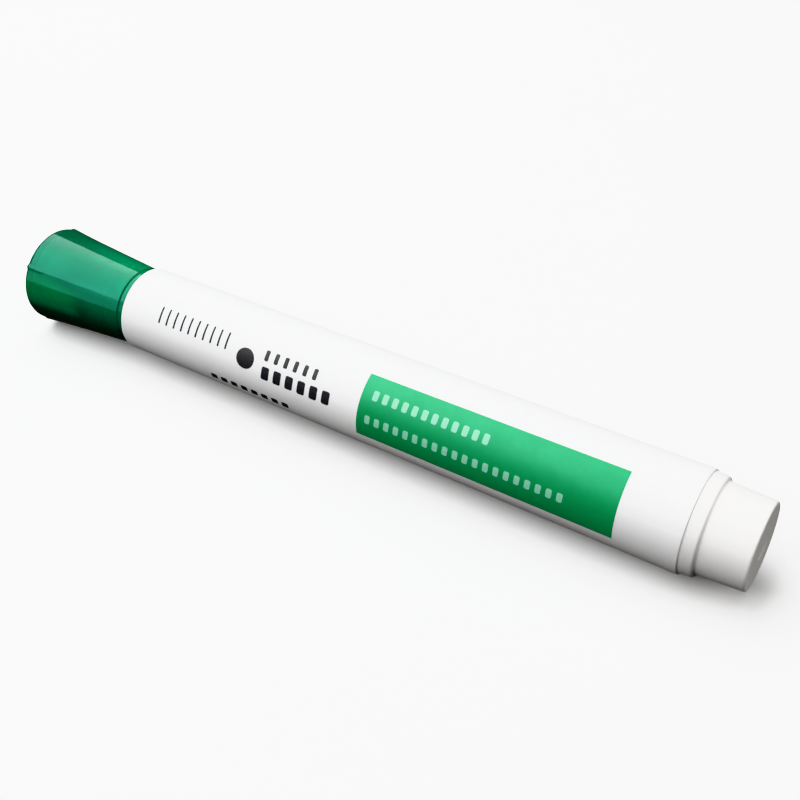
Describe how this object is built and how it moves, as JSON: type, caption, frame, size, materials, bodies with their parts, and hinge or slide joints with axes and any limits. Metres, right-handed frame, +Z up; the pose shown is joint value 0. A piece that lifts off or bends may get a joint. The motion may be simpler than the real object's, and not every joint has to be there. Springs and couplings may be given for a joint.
{
  "type": "whiteboard marker",
  "caption": "Capped round dry-erase marker with a tapered white barrel, a flared translucent green cap with grip ridges and a stepped tail plug.",
  "frame": {"origin": "on the floor, under the middle of the marker's length and under its axis", "axes": "+X along the marker from the cap to the tail plug, +Z up, as it lies on a table"},
  "size_m": [0.1362, 0.0172, 0.0172],
  "materials": {
    "cap_shell": "glossy translucent green",
    "cap_sealing_liner": "milky natural plastic",
    "barrel": "satin white, moulded",
    "printed_panel": "flat printed green",
    "nib": "pressed felt, green with ink",
    "ink_reservoir": "bonded fibre, soaked with ink",
    "reservoir_wrap": "clear film",
    "tail_plug": "satin white, moulded"
  },
  "bodies": {
    "marker_body": {"barrel": "barrel", "printed_panel": "printed_panel", "nib": "nib", "ink_reservoir": "ink_reservoir", "reservoir_wrap": "reservoir_wrap", "tail_plug": "tail_plug"},
    "cap": {"cap_shell": "cap_shell", "cap_sealing_liner": "cap_sealing_liner"}
  },
  "joints": [
    {"name": "cap_pull_off", "type": "slide", "parent": "marker_body", "child": "cap", "axis": [-1, 0, 0], "range_m": [0, 0.04]}
  ]
}
